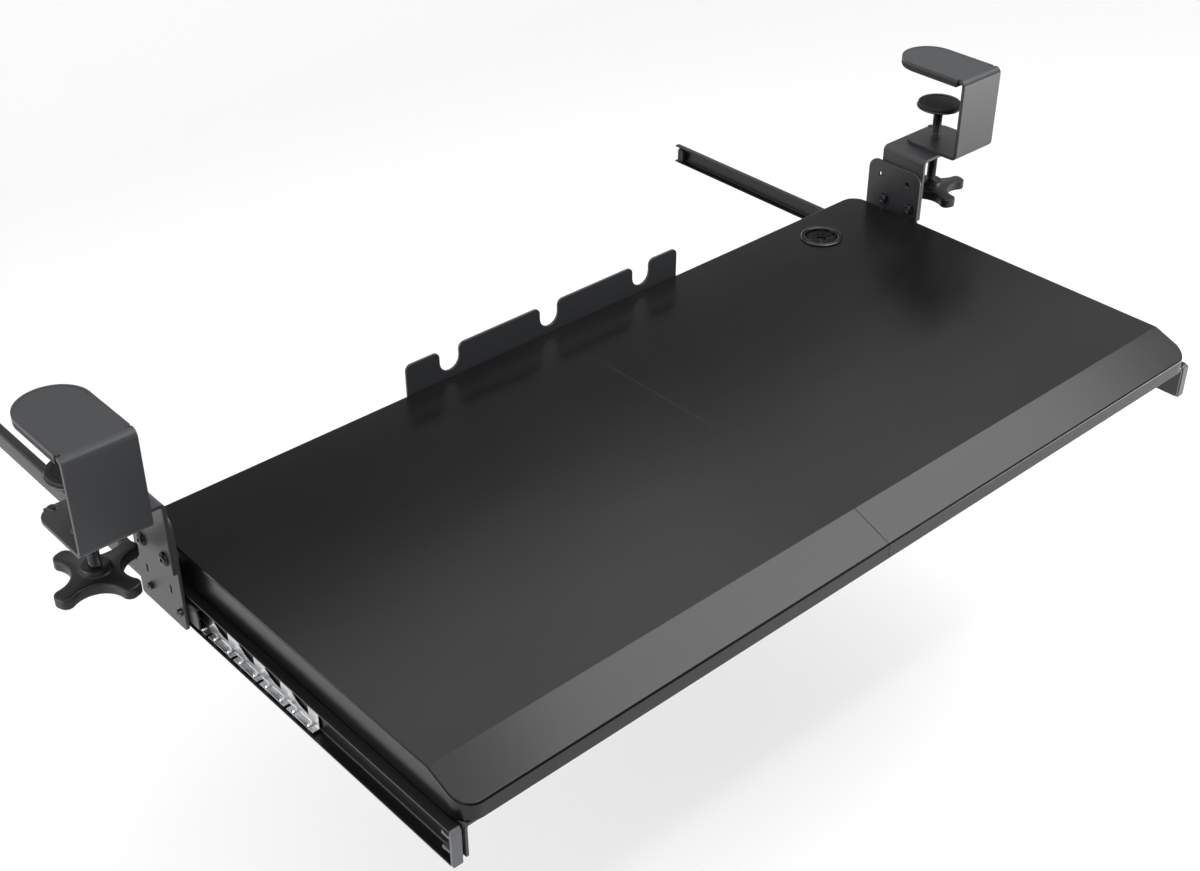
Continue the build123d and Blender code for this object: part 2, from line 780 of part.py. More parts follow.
def clamp_body():
    """Folded strip: jaw above the desk, plate in front of it and flange below it."""
    half = clamp_metal / 2
    front_y = -half
    points = (
        (clamp_length - clamp_metal, jaw_top - half),
        (front_y, jaw_top - half),
        (front_y, clamp_bottom + half),
        (flange_length - clamp_metal, clamp_bottom + half),
    )
    body = folded_sheet(points, clamp_metal, clamp_fold_radius, Plane.YZ, clamp_width)
    jaw_band = extrude(jaw_outline(clamp_width, -clamp_metal), amount=clamp_metal + overrun)
    jaw_space = Pos(0, clamp_length / 2) * Rectangle(clamp_width + 2 * overrun, clamp_length)
    jaw_space = extrude(jaw_space, amount=clamp_metal + overrun)
    body -= Pos(0, 0, jaw_underside - overrun / 2) * (jaw_space - jaw_band)
    rims = body.edges().filter_by(Axis.Z)
    corners = rims.filter_by(lambda edge: edge.center().Z < clamp_bottom + clamp_metal)
    body = fillet(corners.group_by(Axis.Y)[-1], flange_corner_radius)
    notch = Box(2 * relief_depth, relief_length, jaw_top)
    for side in (-1, 1):
        body -= Pos(side * clamp_width / 2, relief_behind_desk, jaw_underside) * notch
    hole_top = clamp_bottom + clamp_metal + overrun
    body -= clear_hole(screw_diameter, clamp_bottom - overrun, hole_top, 0, screw_y)
    body = Pos(clamp_x, 0, 0) * body
    for x, y in bracket_rivet_places():
        body -= pin(slide_rivet_hole, knob_top, 0, x, y)
    write_pair("clamp_body", body)
    pad = extrude(jaw_outline(clamp_width, jaw_pad_front), amount=jaw_pad_thickness)
    pad = chamfer(pad.edges().group_by(Axis.Z)[0], jaw_pad_chamfer)
    write_pair("jaw_pad", Pos(clamp_x, 0, 0) * pad)


def weld_nut():
    """Hexagon nut welded under the bracket, in which the clamp screw turns."""
    top = clamp_bottom - bracket_thickness
    outline = RegularPolygon(weld_nut_width / 2, fastener_sides, major_radius=False)
    nut = Pos(clamp_x, screw_y, top - weld_nut_height) * extrude(outline, amount=weld_nut_height)
    write_pair("weld_nut", nut - clear_hole(screw_diameter, knob_top, 0, clamp_x, screw_y))


def knob_star():
    """Four arms with rounded tips, and a round hollow between each two arms."""
    tip_distance = knob_radius - knob_tip_radius
    outline = RegularPolygon(tip_distance, round_sides)
    hollow_distance = knob_waist_radius + knob_hollow_radius
    hollow = Pos(hollow_distance, 0) * RegularPolygon(knob_hollow_radius, round_sides)
    tip = Pos(tip_distance, 0) * RegularPolygon(knob_tip_radius, round_sides)
    for step in range(knob_arm_count):
        outline -= Rot(0, 0, (step + 1 / 2) * full_turn / knob_arm_count) * hollow
    for step in range(knob_arm_count):
        outline += Rot(0, 0, step * full_turn / knob_arm_count) * tip
    star = extrude(outline, amount=knob_thickness)
    return chamfer(star.edges().group_by(Axis.Z)[-1], knob_edge_chamfer)


def clamp_screw_and_knob():
    """Bar with a plain tip, and the four-armed knob moulded round its lower end."""
    place = Pos(clamp_x, screw_y, 0)
    cup_top = pad_top - pad_rubber_thickness - pad_plate_thickness
    tip_top = cup_top - touch_gap
    shoulder = tip_top - screw_tip_length
    knob_bottom = knob_top - knob_thickness
    bar = pin(screw_diameter, knob_bottom + knob_floor, shoulder, sides=round_sides)
    bar = chamfer(bar.edges().group_by(Axis.Z)[-1], screw_end_chamfer)
    tip = extrude(Circle(screw_tip_diameter / 2), amount=screw_tip_length + overrun)
    tip = Pos(0, 0, shoulder - overrun) * tip
    write_pair("clamp_screw", place * (bar + tip))
    hub_height = knob_thickness + knob_hub_rise
    hub = pin(knob_hub_diameter, 0, hub_height, sides=round_sides)
    hub = chamfer(hub.edges().group_by(Axis.Z)[-1], knob_edge_chamfer)
    knob = Rot(0, 0, knob_turn_degrees) * (knob_star() + hub)
    knob -= pin(screw_diameter + 2 * slip_gap, knob_floor, hub_height + overrun, sides=round_sides)
    write_pair("knob", place * Pos(0, 0, knob_bottom) * knob)


def pressure_pad():
    """Steel cup that turns on the screw's tip, faced with rubber against the desk."""
    plate_top = pad_top - pad_rubber_thickness
    plate_bottom = plate_top - pad_plate_thickness
    cup_bottom = plate_bottom - screw_tip_length
    plate = pin(pad_diameter, plate_bottom, plate_top, sides=round_sides)
    plate = chamfer(plate.edges().group_by(Axis.Z)[-1], pad_plate_thickness / 2)
    plate += pin(pad_cup_diameter, cup_bottom, plate_bottom, sides=hole_sides)
    plate = Pos(clamp_x, screw_y, 0) * plate
    plate -= clear_hole(screw_tip_diameter, knob_top, plate_bottom, clamp_x, screw_y)
    write_pair("pressure_plate", plate)
    rubber = pin(pad_diameter - 2 * pad_rubber_inset, plate_top, pad_top, sides=round_sides)
    rubber = chamfer(rubber.edges().group_by(Axis.Z)[-1], pad_rubber_inset)
    write_pair("pressure_pad", Pos(clamp_x, screw_y, 0) * rubber)


os.makedirs("parts", exist_ok=True)
tray_boards()
joining_hardware()
cable_guard()
grommet()
rail_angle()
slide_channel()
fixed_rail()
ball_retainer()
slide_cap()
hanger_plate()
clamp_bracket()
hanger_bolts()
clamp_body()
weld_nut()
clamp_screw_and_knob()
pressure_pad()
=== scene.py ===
import json
import math

import bmesh
import bpy
import numpy as np
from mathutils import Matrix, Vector

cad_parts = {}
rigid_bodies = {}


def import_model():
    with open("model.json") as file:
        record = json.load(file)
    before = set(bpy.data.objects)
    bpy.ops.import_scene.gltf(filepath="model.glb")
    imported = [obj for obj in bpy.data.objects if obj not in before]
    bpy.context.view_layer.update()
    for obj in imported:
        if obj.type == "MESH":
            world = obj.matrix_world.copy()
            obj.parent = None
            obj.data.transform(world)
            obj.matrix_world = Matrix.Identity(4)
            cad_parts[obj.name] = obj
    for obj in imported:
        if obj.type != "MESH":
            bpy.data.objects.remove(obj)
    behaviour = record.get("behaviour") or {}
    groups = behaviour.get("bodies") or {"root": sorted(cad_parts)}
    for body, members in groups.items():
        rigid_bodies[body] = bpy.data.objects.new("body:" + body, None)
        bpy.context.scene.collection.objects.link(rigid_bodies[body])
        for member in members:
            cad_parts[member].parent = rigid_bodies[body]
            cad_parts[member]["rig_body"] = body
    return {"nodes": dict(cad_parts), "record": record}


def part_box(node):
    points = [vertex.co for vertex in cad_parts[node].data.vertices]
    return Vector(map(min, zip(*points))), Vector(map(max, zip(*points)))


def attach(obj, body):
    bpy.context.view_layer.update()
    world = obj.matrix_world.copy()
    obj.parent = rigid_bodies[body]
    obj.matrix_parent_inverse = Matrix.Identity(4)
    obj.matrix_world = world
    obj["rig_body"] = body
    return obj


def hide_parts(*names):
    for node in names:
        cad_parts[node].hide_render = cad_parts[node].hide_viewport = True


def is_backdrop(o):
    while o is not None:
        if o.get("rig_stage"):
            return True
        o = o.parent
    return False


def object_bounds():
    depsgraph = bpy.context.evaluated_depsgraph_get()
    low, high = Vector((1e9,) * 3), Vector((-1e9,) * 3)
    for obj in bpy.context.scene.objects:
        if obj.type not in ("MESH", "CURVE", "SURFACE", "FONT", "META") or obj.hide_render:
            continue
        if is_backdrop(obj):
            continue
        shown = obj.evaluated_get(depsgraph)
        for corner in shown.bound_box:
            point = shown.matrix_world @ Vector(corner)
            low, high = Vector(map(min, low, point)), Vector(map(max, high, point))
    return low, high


# Clamp-on keyboard tray in the part's own frame: X along the tray, Y back under the desk, Z up, in metres.
# Shapes are worked out in millimetres and scaled as they become meshes.

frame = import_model()
cad_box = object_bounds()
nodes = frame["nodes"]
slots = {part["node"]: part["material_slot"] for part in frame["record"]["subparts"]}
SIDES = ("left", "right")
MM = 0.001
SRGB_TOE = 0.04045
# folds and rounds have facets that turn by up to 0.3, and every real edge turns by more
FACET_TURN = 0.33
# in degrees: faces that turn by less are one flat face, and edges of turned pieces by more stay sharp
FLAT_TURN = 0.5
SHARP_TURN = 38
# strength of the even light from all round, and the paper's height in metres
STUDIO_GLOW = 0.045
FLOOR_HEIGHT = -0.42


def linear(code):
    """An sRGB hex colour as linear red, green, blue and full alpha."""
    parts = np.array([int(code[at:at + 2], 16) for at in (1, 3, 5)]) / 255
    low = parts / 12.92
    high = ((parts + 0.055) / 1.055) ** 2.4
    return (*np.where(parts <= SRGB_TOE, low, high).tolist(), 1.0)


# Camera, paper and light


def place_camera():
    """Camera at the photograph's angle, solved from the board's and the clamps' straight edges."""
    data = bpy.data.cameras.new("camera")
    data.sensor_width = 36.0
    data.lens = 51.83
    data.clip_end = 20.0
    camera = bpy.data.objects.new("camera", data)
    camera.location = (-0.7312, -0.7878, 0.5557)
    aim = Vector((0.55561318, 0.61528834, -0.55920859))
    camera.rotation_euler = aim.to_track_quat("-Z", "Y").to_euler()
    bpy.context.scene.collection.objects.link(camera)
    bpy.context.scene.camera = camera


def soft_light(name, place, target, width, height, power):
    """A rectangular lamp that faces a point and isn't itself in the picture."""
    data = bpy.data.lights.new(name, "AREA")
    data.shape = "RECTANGLE"
    data.size, data.size_y = width, height
    data.energy = power
    lamp = bpy.data.objects.new(name, data)
    lamp.location = place
    lamp.visible_camera = False
    lamp.rotation_euler = (Vector(target) - Vector(place)).to_track_quat("-Z", "Y").to_euler()
    bpy.context.scene.collection.objects.link(lamp)


def hang_from_ceiling(name, height, left, right, front, rear, power):
    """A lamp overhead that faces down, from one X to another and one Y to another."""
    place = ((left + right) / 2, (front + rear) / 2, height)
    soft_light(name, place, (*place[:2], 0), right - left, rear - front, power)


def light_studio():
    """Overlapping lamps overhead, brightest on the left, a lamp at each side, and two strips.

    The rear edge of the overhead lamps ends the sheen on the board. The key lights the sloped nose,
    one strip draws a bright line along rounded edges that run across, and the other along those that
    run to the rear. The lamps at the sides stand lower than the board, whose top so never mirrors
    them. Each lamp overhead has its own height, because of lamps in one plane a mirror shows only one.
    """
    hang_from_ceiling("ceiling_softbox_wide", 0.90, -2.0, 4.0, -2.05, 0.95, 36)
    hang_from_ceiling("ceiling_softbox_middle", 0.89, -2.0, 1.5, -2.05, 0.94, 12)
    hang_from_ceiling("ceiling_softbox_left", 0.88, -2.0, 0.9, -2.05, 0.93, 16)
    hang_from_ceiling("ceiling_key", 0.87, 0.2, 1.42, -0.62, 0.02, 9)
    hang_from_ceiling("ceiling_strip", 0.86, -0.3, 1.9, -0.69, -0.61, 8)
    soft_light("right_softbox", (1.15, -0.95, -0.25), (0.42, 0, -0.05), 0.7, 0.24, 8)
    soft_light("left_softbox", (-1.3, 0.05, -0.22), (-0.4, 0, -0.1), 0.9, 0.26, 6)
    soft_light("rear_strip", (-1.35, 0.9, 0.45), (-0.35, -0.1, -0.1), 0.9, 0.25, 3)


def add_node(tree, kind, values=(), links=(), **properties):
    """Add a node, set its properties and socket values, and link sources to its sockets."""
    made = tree.nodes.new(kind)
    for key, value in properties.items():
        setattr(made, key, value)
    for socket, value in values:
        made.inputs[socket].default_value = value
    for socket, source in links:
        tree.links.new(source, made.inputs[socket])
    return made


def light_world():
    """Dim even light from all round, as from far studio walls, that the camera sees as plain white."""
    world = bpy.data.worlds.new("studio")
    bpy.context.scene.world = world
    world.use_nodes = True
    tree = world.node_tree
    tree.nodes.clear()
    path = add_node(tree, "ShaderNodeLightPath")
    strength = add_node(tree, "ShaderNodeMath", [(1, STUDIO_GLOW)], [(0, path.outputs["Is Camera Ray"])],
                        operation="MAXIMUM")
    light = add_node(tree, "ShaderNodeBackground", [("Color", (1, 1, 1, 1))],
                     [("Strength", strength.outputs[0])])
    add_node(tree, "ShaderNodeOutputWorld", links=[("Surface", light.outputs[0])])


def paper_finish():
    """White paper sweep. The camera, mirrors and glass see most of it as plain white, under any shadow.

    The plain share is lowest round the object and grows to all of it far out, where no shadow falls.
    """
    finish = bpy.data.materials.new("white_paper_sweep")
    finish.use_nodes = True
    tree = finish.node_tree
    tree.nodes.clear()
    near, far, plain_share = 1.2, 2.6, 0.6
    path = add_node(tree, "ShaderNodeLightPath")
    seen = add_node(tree, "ShaderNodeMath", operation="MAXIMUM",
                    links=[(0, path.outputs["Is Camera Ray"]), (1, path.outputs["Is Glossy Ray"])])
    seen = add_node(tree, "ShaderNodeMath", operation="MAXIMUM",
                    links=[(0, seen.outputs[0]), (1, path.outputs["Is Transmission Ray"])])
    place = add_node(tree, "ShaderNodeTexCoord")
    distance = add_node(tree, "ShaderNodeVectorMath", operation="LENGTH",
                        links=[(0, place.outputs["Object"])])
    plain = add_node(tree, "ShaderNodeMapRange", links=[("Value", distance.outputs["Value"])], values=[
        ("From Min", near), ("From Max", far), ("To Min", plain_share), ("To Max", 1.0)])
    share = add_node(tree, "ShaderNodeMath", operation="MULTIPLY",
                     links=[(0, seen.outputs[0]), (1, plain.outputs[0])])
    paper = add_node(tree, "ShaderNodeBsdfDiffuse", [("Color", linear("#f6f6f6"))])
    white = add_node(tree, "ShaderNodeEmission", [("Color", (1, 1, 1, 1)), ("Strength", 1.0)])
    mix = add_node(tree, "ShaderNodeMixShader", links=[
        (0, share.outputs[0]), (1, paper.outputs[0]), (2, white.outputs[0])])
    add_node(tree, "ShaderNodeOutputMaterial", links=[("Surface", mix.outputs[0])])
    return finish


def lay_sweep():
    """Paper floor under the object, which hangs from its clamps, curving up to a low wall behind it."""
    left, right, front, wall, top, bend = -7.0, 9.0, -7.0, 1.7, 1.0, 0.5
    turn = np.radians(np.linspace(0, 90, 13))
    curve = np.stack([wall - bend + bend * np.sin(turn), FLOOR_HEIGHT + bend - bend * np.cos(turn)], -1)
    profile = np.vstack([[front, FLOOR_HEIGHT], curve, [wall, top]])
    points = np.empty((len(profile), 2, 3))
    points[:, 0, 0], points[:, 1, 0] = left, right
    points[..., 1:] = profile[:, None]
    mesh = bpy.data.meshes.new("paper_sweep")
    quads = grid_quads(len(profile), 2, wrap=False)[:, ::-1]
    mesh.from_pydata(points.reshape(-1, 3).tolist(), [], quads.tolist())
    mesh.shade_smooth()
    mesh.materials.append(paper_finish())
    sweep = bpy.data.objects.new("paper_sweep", mesh)
    bpy.context.scene.collection.objects.link(sweep)
    sweep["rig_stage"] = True


# Finishes


def new_finish(name, metallic=0.0, ior=1.5, level=0.5):
    """A material with one shader whose uniform values sit on its own sockets."""
    finish = bpy.data.materials.new(name)
    finish.use_nodes = True
    tree = finish.node_tree
    tree.nodes.clear()
    shader = add_node(tree, "ShaderNodeBsdfPrincipled", [
        ("Metallic", metallic), ("IOR", ior), ("Specular IOR Level", level)])
    add_node(tree, "ShaderNodeOutputMaterial", links=[("Surface", shader.outputs[0])])
    return finish, tree, shader


def grain(tree, size, stretch=(1, 1, 1), detail=2.0):
    """Noise whose blobs are about so large, in metres, stretched along the axes."""
    place = add_node(tree, "ShaderNodeTexCoord")
    scale = tuple(1 / (size * part) for part in stretch)
    scaled = add_node(tree, "ShaderNodeMapping", [("Scale", scale)], [("Vector", place.outputs["Object"])])
    return add_node(tree, "ShaderNodeTexNoise", [("Scale", 1.0), ("Detail", detail), ("Roughness", 0.55)],
                    [("Vector", scaled.outputs[0])])


def blend_colours(tree, shader, source, dark, light):
    """Base colour that wanders between two hex colours with a pattern."""
    ramp = add_node(tree, "ShaderNodeValToRGB", links=[("Fac", source.outputs[0])])
    ramp.color_ramp.elements[0].position, ramp.color_ramp.elements[1].position = 0.35, 0.65
    ramp.color_ramp.elements[0].color, ramp.color_ramp.elements[1].color = linear(dark), linear(light)
    tree.links.new(ramp.outputs[0], shader.inputs["Base Color"])
    return ramp


def vary_roughness(tree, shader, source, low, high):
    """Roughness that wanders between two values with a pattern."""
    spread = add_node(tree, "ShaderNodeMapRange", links=[("Value", source.outputs[0])], values=[
        ("From Min", 0.3), ("From Max", 0.7), ("To Min", low), ("To Max", high)])
    tree.links.new(spread.outputs[0], shader.inputs["Roughness"])


def raise_grain(tree, shader, source, height, strength):
    """Bump of a pattern."""
    bump = add_node(tree, "ShaderNodeBump", [("Strength", strength), ("Distance", height)],
                    [("Height", source.outputs[0])])
    tree.links.new(bump.outputs[0], shader.inputs["Normal"])


def black_laminate():
    """Melamine on particle board, pressed with a fine pearl: black with a soft even sheen."""
    finish, tree, shader = new_finish("pressed_black_melamine", ior=1.45, level=0.4)
    # the real pearl is about 0.4 mm, drawn at 0.9 mm so that it shows
    pearl = grain(tree, 0.9 * MM, detail=1.0)
    cloud = grain(tree, 45 * MM, stretch=(2.5, 1, 1))
    blend_colours(tree, shader, cloud, "#08080a", "#0d0d0e")
    vary_roughness(tree, shader, pearl, 0.19, 0.26)
    raise_grain(tree, shader, pearl, 0.05 * MM, 0.22)
    return finish


def powder_coat():
    """Baked polyester powder on folded steel: dark grey, with a faint orange peel."""
    finish, tree, shader = new_finish("powder_coated_steel", ior=1.5)
    # orange peel of about 1.2 mm, with pigment specks of 0.5 mm
    peel = grain(tree, 1.2 * MM, detail=1.0)
    speck = grain(tree, 0.5 * MM, detail=3.0)
    blend_colours(tree, shader, speck, "#242527", "#2d2e30")
    vary_roughness(tree, shader, speck, 0.38, 0.5)
    raise_grain(tree, shader, peel, 0.04 * MM, 0.35)
    return finish


def coated_slide_steel():
    """Rolled steel with a thin black electro-coat: smooth, with faint draw lines along its length."""
    finish, tree, shader = new_finish("electro_coated_steel", ior=1.5, level=0.35)
    lines = grain(tree, 0.6 * MM, stretch=(1, 60, 1))
    blend_colours(tree, shader, lines, "#0b0b0c", "#141415")
    vary_roughness(tree, shader, lines, 0.26, 0.36)
    raise_grain(tree, shader, lines, 0.01 * MM, 0.3)
    return finish


def zinc_plate():
    """Bright zinc on pressed steel: silvery, with drawn lines and faint cloudy patches."""
    finish, tree, shader = new_finish("bright_zinc_plate", metallic=1.0)
    patches = grain(tree, 6 * MM)
    lines = grain(tree, 0.4 * MM, stretch=(1, 40, 1))
    blend_colours(tree, shader, patches, "#cfd0d2", "#e6e7e8")
    vary_roughness(tree, shader, lines, 0.24, 0.36)
    raise_grain(tree, shader, lines, 0.01 * MM, 0.25)
    return finish


def polished_steel():
    """Hardened bearing steel, ground and lapped: a clean mirror with a trace of oil."""
    finish, tree, shader = new_finish("lapped_bearing_steel", metallic=1.0)
    film = grain(tree, 1.5 * MM)
    blend_colours(tree, shader, film, "#cfd1d3", "#dfe0e1")
    vary_roughness(tree, shader, film, 0.06, 0.14)
    return finish


def black_oxide():
    """Machined screws with a black oxide finish: near-black metal, worn bare along its crests and painted
    brighter there as a highlight.
    """
    finish, tree, shader = new_finish("black_oxide_steel", metallic=1.0)
    speck = grain(tree, 0.5 * MM)
    ramp = blend_colours(tree, shader, speck, "#303133", "#3e3f42")
    # painted highlight with wear: pointiness mixes the crests' base colour towards bright bare steel, to
    # stand for the light caught on them
    shape = add_node(tree, "ShaderNodeNewGeometry")
    crest_wear_and_highlight_mask = add_node(tree, "ShaderNodeMapRange", [("From Min", 0.54), ("From Max", 0.62)],
                    [("Value", shape.outputs["Pointiness"])])
    crest_wear_and_highlight_colour = add_node(tree, "ShaderNodeMix", [("B", linear("#8e9093"))],
                    [("Factor", crest_wear_and_highlight_mask.outputs[0]), ("A", ramp.outputs[0])], data_type="RGBA")
    tree.links.new(crest_wear_and_highlight_colour.outputs["Result"], shader.inputs["Base Color"])
    vary_roughness(tree, shader, speck, 0.3, 0.42)
    raise_grain(tree, shader, speck, 0.01 * MM, 0.3)
    return finish


def moulded_nylon():
    """Glass-filled nylon from a spark-eroded mould: black, matt and slightly leathery."""
    finish, tree, shader = new_finish("moulded_black_nylon", ior=1.53, level=0.3)
    # spark-eroded grain of about 0.5 mm
    leather = grain(tree, 0.5 * MM)
    blend_colours(tree, shader, leather, "#0f0f10", "#151516")
    vary_roughness(tree, shader, leather, 0.38, 0.46)
    raise_grain(tree, shader, leather, 0.02 * MM, 0.3)
    return finish


def glossy_abs():
    """ABS from a polished mould: deep black with a clear shine."""
    finish, tree, shader = new_finish("polished_black_abs", ior=1.54)
    flow = grain(tree, 9 * MM)
    blend_colours(tree, shader, flow, "#0b0b0c", "#101011")
    vary_roughness(tree, shader, flow, 0.1, 0.17)
    raise_grain(tree, shader, flow, 0.01 * MM, 0.1)
    return finish


def grey_polypropylene():
    """Satin moulded polypropylene: mid grey with a fine matt skin."""
    finish, tree, shader = new_finish("moulded_grey_polypropylene", ior=1.49)
    skin_grain = grain(tree, 0.5 * MM)
    blend_colours(tree, shader, skin_grain, "#4b4c4e", "#565759")
    vary_roughness(tree, shader, skin_grain, 0.4, 0.5)
    raise_grain(tree, shader, skin_grain, 0.02 * MM, 0.25)
    return finish


def moulded_rubber():
    """Moulded nitrile rubber: black and dull, with a dusty bloom."""
    finish, tree, shader = new_finish("moulded_nitrile_rubber", ior=1.52)
    bloom = grain(tree, 3 * MM, detail=3.0)
    blend_colours(tree, shader, bloom, "#151515", "#1b1b1b")
    vary_roughness(tree, shader, bloom, 0.7, 0.8)
    raise_grain(tree, shader, grain(tree, 0.6 * MM), 0.02 * MM, 0.25)
    return finish


def turned_beech():
    """Beech dowel turned along its grain: pale, with short fine pores along X."""
    finish, tree, shader = new_finish("turned_beech", ior=1.5)
    pores = grain(tree, 0.8 * MM, stretch=(12, 1, 1), detail=4.0)
    blend_colours(tree, shader, pores, "#b98f60", "#d2ab7c")
    vary_roughness(tree, shader, pores, 0.5, 0.66)
    raise_grain(tree, shader, pores, 0.05 * MM, 0.4)
    return finish


FINISHES = {
    "black_laminate_board": black_laminate(),
    "beech": turned_beech(),
    "powder_coated_steel": powder_coat(),
    "blackened_steel": black_oxide(),
    "slide_steel": coated_slide_steel(),
    "zinc_plated_steel": zinc_plate(),
    "bearing_steel": polished_steel(),
    "black_plastic": moulded_nylon(),
    "glossy_black_plastic": glossy_abs(),
    "grey_plastic": grey_polypropylene(),
    "black_rubber": moulded_rubber(),
}


# Surfaces


def grid_quads(rows, columns, loop=False, wrap=True):
    """Corner numbers of a grid's quads, closed round its columns, and for a ring also round its rows."""
    row, column = np.meshgrid(np.arange(rows if loop else rows - 1),
                              np.arange(columns if wrap else columns - 1), indexing="ij")
    beside, above = (column + 1) % columns, (row + 1) % rows
    low, high = row * columns, above * columns
    return np.stack([low + column, low + beside, high + beside, high + column], -1).reshape(-1, 4)


def skin(points, start=None, end=None, loop=False):
    """Vertices and faces of a grid of points, with a fan to a tip at its first and last row."""
    rows, columns = points.shape[:2]
    vertices = points.reshape(-1, 3)
    faces = grid_quads(rows, columns, loop).tolist()
    around = np.arange(columns)
    for tip, base in ((start, 0), (end, (rows - 1) * columns)):
        if tip is not None:
            top = np.full(columns, len(vertices))
            faces += np.stack([base + around, base + (around + 1) % columns, top], -1).tolist()
            vertices = np.vstack([vertices, [tip]])
    return vertices, faces


def circles(radii, heights, angle):
    """Grid of points about Z: a radius and a height for each row, each one number or one per angle."""
    radius = np.array([np.broadcast_to(value, angle.shape[-1:]) for value in radii])
    height = np.array([np.broadcast_to(value, angle.shape[-1:]) for value in heights])
    return np.stack([radius * np.cos(angle), radius * np.sin(angle), height], -1)


def turned(profile, sides=48, ring=False):
    """A profile of (radius, height) pairs turned about Z. Its ends close on the axis, or join in a ring."""
    profile = np.array(profile, float)
    wall = profile[profile[:, 0] > 0]
    points = circles(wall[:, 0], wall[:, 1], np.linspace(0, 2 * np.pi, sides, endpoint=False))
    if ring:
        return skin(points, loop=True)
    return skin(points, [0, 0, profile[0, 1]], [0, 0, profile[-1, 1]])


def arc(centre_r, centre_h, radius, start, end, steps=6):
    """Points of a round edge of a profile, by angle from the radius axis, in degrees."""
    angle = np.radians(np.linspace(start, end, steps))
    return np.stack([centre_r + radius * np.cos(angle), centre_h + radius * np.sin(angle)], -1).tolist()


AIMS = {
    "+Z": np.array([[1, 0, 0], [0, 1, 0], [0, 0, 1]], float),
    "+X": np.array([[0, 0, 1], [0, 1, 0], [-1, 0, 0]], float),
    "-X": np.array([[0, 0, -1], [0, 1, 0], [1, 0, 0]], float),
    "-Y": np.array([[1, 0, 0], [0, 0, -1], [0, 1, 0]], float),
}


def repeated(shape, places, aim="+Z"):
    """One shape turned to an axis and set at several places, as one mesh."""
    vertices, faces = shape
    vertices = vertices @ AIMS[aim].T
    stacked = (vertices[None] + np.array(places, float)[:, None]).reshape(-1, 3)
    count = len(vertices)
    many = [[corner + step * count for corner in face] for step in range(len(places)) for face in faces]
    return stacked, many


def joined(first, second):
    """Two shapes as one mesh."""
    count = len(first[0])
    shifted = [[corner + count for corner in face] for face in second[1]]
    return np.vstack([first[0], second[0]]), first[1] + shifted


def corners(name):
    """Lowest and highest corner of a node, in millimetres."""
    return [np.array(corner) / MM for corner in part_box(name)]


def merged(name):
    """A node's points with doubles joined, in millimetres, and its triangles."""
    mesh = nodes[name].data
    points = np.empty(len(mesh.vertices) * 3, np.float32)
    mesh.vertices.foreach_get("co", points)
    picks = np.empty(len(mesh.loops), np.int32)
    mesh.loops.foreach_get("vertex_index", picks)
    points = (points.astype(float).reshape(-1, 3) / MM).round(3)
    points, place = np.unique(points, axis=0, return_inverse=True)
    triangles = place.reshape(-1)[picks].reshape(-1, 3)
    return points, triangles[(triangles != np.roll(triangles, 1, 1)).all(1)]


def solid_boxes(name):
    """Lowest and highest corner of each separate solid of a node.

    Every point starts with its own number, and each triangle gives its least number to its corners,
    until nothing changes and each solid has one number.
    """
    points, triangles = merged(name)
    label = np.arange(len(points))
    settled = False
    while not settled:
        lower = label.copy()
        np.minimum.at(lower, triangles.ravel(), np.repeat(label[triangles].min(1), 3))
        settled = (lower == label).all()
        label = lower
    groups = [points[label == mark] for mark in np.unique(label[triangles])]
    return [(group.min(0), group.max(0)) for group in groups]


def set_at(name, shape, aim):
    """A shape at each solid of a node, starting at the end of the solid from which it aims."""
    axis = "XYZ".index(aim[1])
    places = []
    for low, high in solid_boxes(name):
        place = (low + high) / 2
        place[axis] = high[axis] if aim[0] == "-" else low[axis]
        places.append(place)
    return repeated(shape, places, aim)


def mark_edges(work):
    """Join flat faces, and give a full bevel weight to the edges that turn by more than a fold's facets."""
    bmesh.ops.dissolve_limit(work, angle_limit=math.radians(FLAT_TURN), verts=work.verts, edges=work.edges)
    weight = work.edges.layers.float.new("bevel_weight_edge")
    for edge in work.edges:
        edge[weight] = float(edge.calc_face_angle(0) > FACET_TURN)
    return weight


def raise_field(work):
    """Step a clamp jaw's top up inside a rim: its outline and a ring inside it are lowered."""
    rim_width, step_width, step_height = 2.0 * MM, 0.35 * MM, 0.3 * MM
    top = max(work.faces, key=lambda face: face.calc_center_median().z)
    rim = set(top.verts)
    bmesh.ops.inset_region(work, faces=[top], thickness=rim_width)
    rim |= set(top.verts)
    bmesh.ops.inset_region(work, faces=[top], thickness=step_width)
    bmesh.ops.translate(work, vec=(0, 0, -step_height), verts=list(rim))


def make_piece(name, shape, replaced, rounding=0.0):
    """A mesh in place of a node, on its body and in its finish, with edges rounded by a radius in mm."""
    points, faces = shape
    mesh = bpy.data.meshes.new(name)
    mesh.from_pydata((np.asarray(points) * MM).tolist(), [], [list(face) for face in faces])
    work = bmesh.new()
    work.from_mesh(mesh)
    if rounding:
        weight = mark_edges(work)
        if replaced.startswith("clamp_body"):
            raise_field(work)
        for edge in work.edges:
            edge.smooth = edge[weight] > 0 or edge.calc_face_angle(0) < FACET_TURN
    bmesh.ops.recalc_face_normals(work, faces=work.faces)
    work.to_mesh(mesh)
    work.free()
    mesh.polygons.foreach_set("use_smooth", np.ones(len(mesh.polygons), bool))
    mesh.materials.append(FINISHES[slots[replaced]])
    piece = bpy.data.objects.new(name, mesh)
    bpy.context.scene.collection.objects.link(piece)
    if rounding:
        soft = piece.modifiers.new("rounded_edges", "BEVEL")
        soft.width = rounding * MM
        soft.segments = 2
        soft.limit_method = "WEIGHT"
        soft.use_clamp_overlap = False
        soft.harden_normals = True
    else:
        mesh.set_sharp_from_angle(angle=math.radians(SHARP_TURN))
    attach(piece, nodes[replaced]["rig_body"])
    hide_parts(replaced)


# Folded, sawn and moulded pieces, whose edges are rounded

